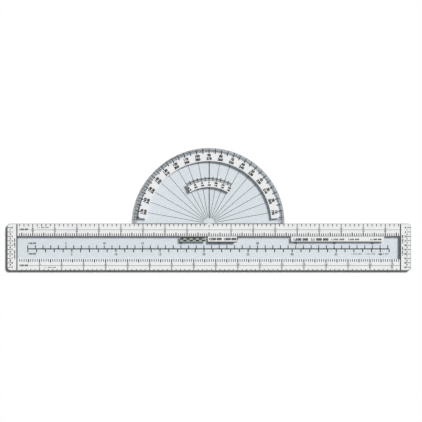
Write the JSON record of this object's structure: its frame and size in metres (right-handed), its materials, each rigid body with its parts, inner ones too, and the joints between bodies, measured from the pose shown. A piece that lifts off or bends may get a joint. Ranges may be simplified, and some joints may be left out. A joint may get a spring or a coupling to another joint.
{
  "type": "navigation plotter",
  "caption": "Fixed navigation plotter: clear ruler with a half-round protractor on its upper edge, printed with chart scales, degree marks and lines from the centre hole.",
  "frame": {"origin": "axis of the centre hole, at the underside of the clear sheet", "axes": "+X along the ruler, towards the end with the long legend panel; +Y from the ruler into the protractor; +Z out of the printed face"},
  "size_m": [0.3398, 0.1032, 0.0017],
  "materials": {
    "clear_plastic": "clear gloss plastic sheet with a faint blue-grey tint",
    "white_ink": "opaque white screen ink, satin",
    "black_ink": "opaque black screen ink, satin"
  },
  "bodies": {
    "root": {"clear_sheet": "clear_plastic", "upper_scale_ground": "white_ink", "lower_scale_ground": "white_ink", "left_end_ground": "white_ink", "right_end_ground": "white_ink", "azimuth_band_ground": "white_ink", "meridian_band_ground": "white_ink", "legend_panel": "white_ink", "title_panel": "white_ink", "title_panel_border": "black_ink", "scale_bar_panel": "white_ink", "scale_bar_blocks": "black_ink", "upper_outer_scale": "black_ink", "upper_inner_scale": "black_ink", "upper_division_lines": "black_ink", "lower_outer_scale": "black_ink", "lower_inner_scale": "black_ink", "lower_division_lines": "black_ink", "mile_scale_baseline": "black_ink", "statute_mile_scale": "black_ink", "nautical_mile_scale": "black_ink", "left_end_scale": "black_ink", "right_end_scale": "black_ink", "frame_lines": "black_ink", "protractor_base_line": "black_ink", "azimuth_degree_scale": "black_ink", "azimuth_radial_lines": "black_ink", "meridian_baseline": "black_ink", "meridian_scale": "black_ink"}
  },
  "joints": []
}
